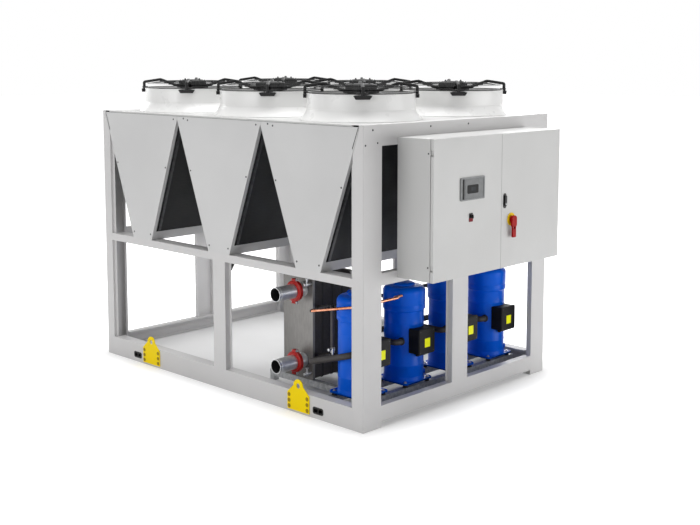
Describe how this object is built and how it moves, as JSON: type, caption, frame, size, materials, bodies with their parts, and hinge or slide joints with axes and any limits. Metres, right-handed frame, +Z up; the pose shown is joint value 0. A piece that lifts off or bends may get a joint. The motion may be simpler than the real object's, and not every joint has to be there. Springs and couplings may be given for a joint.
{
  "type": "air-cooled chiller",
  "caption": "Packaged air-cooled water chiller: V-shaped condenser coils under axial fans on an open steel frame, with compressors, plate evaporator and control cabinet.",
  "frame": {"origin": "centre of the base, on the ground, between the four corner posts", "axes": "+X along the long side towards the control cabinet, +Z up; the water pipes leave towards -Y"},
  "size_m": [3.5553, 2.274, 2.485],
  "materials": {
    "frame_paint": "fine-textured light grey powder coat on folded steel",
    "panel_paint": "smooth light grey powder coat on folded sheet",
    "galvanised": "galvanised steel with a dull spangle",
    "coil_fins": "bare aluminium fins, dark between them",
    "coil_frame": "mill-finish aluminium sheet",
    "nozzle_paint": "smooth off-white powder coat",
    "guard_black": "black plastic-coated steel wire and bar",
    "motor_black": "black painted aluminium casting",
    "fan_black": "black glass-filled plastic",
    "cabinet_paint": "fine-textured light grey powder coat",
    "zinc": "bright zinc-plated steel",
    "gear_plastic": "moulded grey plastic housings",
    "display_plastic": "dark grey plastic bezel with a dim screen",
    "black_plastic": "matt black plastic",
    "isolator_yellow": "yellow moulded plastic",
    "isolator_red": "red moulded plastic",
    "lifting_yellow": "bright yellow powder coat on steel plate",
    "compressor_blue": "glossy bright blue enamel on a rolled steel shell",
    "rubber": "black rubber",
    "evaporator_steel": "stainless steel end plates",
    "insulation_black": "closed-cell black foam insulation",
    "water_steel": "bare steel pipe",
    "coupling_red": "orange-red enamel on a ductile iron casting",
    "copper": "bare drawn copper tube"
  },
  "bodies": {
    "chiller": {"corner_posts": "frame_paint", "side_mid_posts": "frame_paint", "end_mid_posts": "frame_paint", "base_side_rails": "frame_paint", "base_end_rails": "frame_paint", "mid_side_rails": "frame_paint", "mid_end_rails": "frame_paint", "top_end_fascias": "frame_paint", "top_side_rails": "frame_paint", "deck_beams": "galvanised", "base_crossmembers": "galvanised", "floor_pan": "panel_paint", "post_gussets": "guard_black", "lifting_plates": "lifting_yellow", "module_side_panels": "panel_paint", "condenser_coils": "coil_fins", "coil_end_plates": "coil_frame", "coil_headers": "coil_frame", "coil_troughs": "panel_paint", "deck_plates": "panel_paint", "fan_nozzle_1": "nozzle_paint", "fan_nozzle_2": "nozzle_paint", "fan_nozzle_3": "nozzle_paint", "fan_nozzle_4": "nozzle_paint", "fan_nozzle_5": "nozzle_paint", "fan_nozzle_6": "nozzle_paint", "fan_guards": "guard_black", "fan_motors": "motor_black", "cabinet_shell": "cabinet_paint", "cabinet_hinges": "zinc", "mounting_plate": "zinc", "electrical_gear": "gear_plastic", "equipment_skid": "galvanised", "rubber_mounts": "rubber", "compressors": "compressor_blue", "terminal_boxes": "black_plastic", "evaporator_end_plates": "evaporator_steel", "evaporator_pack": "insulation_black", "water_pipes": "water_steel", "evaporator_stubs": "water_steel", "pipe_couplings": "coupling_red", "suction_lines": "insulation_black", "copper_lines": "copper"},
    "left_door_body": {"left_door": "cabinet_paint", "control_display": "display_plastic", "selector_plate": "isolator_red"},
    "right_door_body": {"right_door": "cabinet_paint", "isolator_plate": "isolator_yellow", "lever_plate": "black_plastic"},
    "selector": {"selector_knob": "black_plastic"},
    "isolator": {"isolator_handle": "isolator_red"},
    "lever": {"door_lever": "black_plastic"},
    "fan_1": {"fan_impeller_1": "fan_black"},
    "fan_2": {"fan_impeller_2": "fan_black"},
    "fan_3": {"fan_impeller_3": "fan_black"},
    "fan_4": {"fan_impeller_4": "fan_black"},
    "fan_5": {"fan_impeller_5": "fan_black"},
    "fan_6": {"fan_impeller_6": "fan_black"}
  },
  "joints": [
    {"name": "fan_spin_1", "type": "hinge", "parent": "chiller", "child": "fan_1", "pos_m": [1.03, -0.555, 2.351], "axis": [0, 0, 1], "continuous": true},
    {"name": "fan_spin_2", "type": "hinge", "parent": "chiller", "child": "fan_2", "pos_m": [1.03, 0.555, 2.351], "axis": [0, 0, 1], "continuous": true},
    {"name": "fan_spin_3", "type": "hinge", "parent": "chiller", "child": "fan_3", "pos_m": [0, -0.555, 2.351], "axis": [0, 0, 1], "continuous": true},
    {"name": "fan_spin_4", "type": "hinge", "parent": "chiller", "child": "fan_4", "pos_m": [0, 0.555, 2.351], "axis": [0, 0, 1], "continuous": true},
    {"name": "fan_spin_5", "type": "hinge", "parent": "chiller", "child": "fan_5", "pos_m": [-1.03, -0.555, 2.351], "axis": [0, 0, 1], "continuous": true},
    {"name": "fan_spin_6", "type": "hinge", "parent": "chiller", "child": "fan_6", "pos_m": [-1.03, 0.555, 2.351], "axis": [0, 0, 1], "continuous": true},
    {"name": "left_door_hinge", "type": "hinge", "parent": "chiller", "child": "left_door_body", "pos_m": [1.917, -0.757, 1.593], "axis": [0, 0, -1], "range_deg": [0, 110]},
    {"name": "right_door_hinge", "type": "hinge", "parent": "chiller", "child": "right_door_body", "pos_m": [1.917, 0.789, 1.593], "axis": [0, 0, 1], "range_deg": [0, 110]},
    {"name": "selector_turn", "type": "hinge", "parent": "left_door_body", "child": "selector", "pos_m": [1.94, -0.34, 1.52], "axis": [1, 0, 0], "range_deg": [-45, 45]},
    {"name": "isolator_turn", "type": "hinge", "parent": "right_door_body", "child": "isolator", "pos_m": [1.94, 0.157, 1.447], "axis": [1, 0, 0], "range_deg": [0, 90]},
    {"name": "lever_turn", "type": "hinge", "parent": "right_door_body", "child": "lever", "pos_m": [1.94, 0.073, 1.62375], "axis": [1, 0, 0], "range_deg": [0, 90]}
  ]
}
